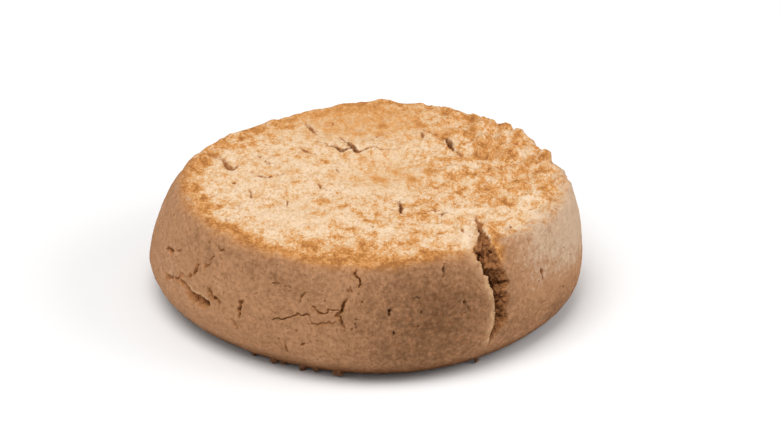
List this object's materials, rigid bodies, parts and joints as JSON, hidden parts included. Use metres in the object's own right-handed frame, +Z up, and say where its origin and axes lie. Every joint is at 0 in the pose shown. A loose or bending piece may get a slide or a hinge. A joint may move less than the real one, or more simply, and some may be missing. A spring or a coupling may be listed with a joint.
{
  "type": "snickerdoodle cookie",
  "caption": "Thick round cookie with a lumpy, toasted top, a plain pale wall with fine cracks, and one deep split down the front.",
  "frame": {"origin": "centre of the flat base that the cookie rests on", "axes": "+Z up, out of the top; -Y towards the front, where the deep split runs down the wall to the right of the middle; +X to the right"},
  "size_m": [0.0717, 0.0702, 0.0202],
  "materials": {
    "dough": "dry, matte, crumbly baked dough, cream to orange-brown on top and plain tan on the wall",
    "crumb": "toasted brown crumbs of the same dough",
    "sugar": "fine sugar and cinnamon grains baked onto the top"
  },
  "bodies": {
    "root": {"cookie": "dough"}
  },
  "joints": []
}
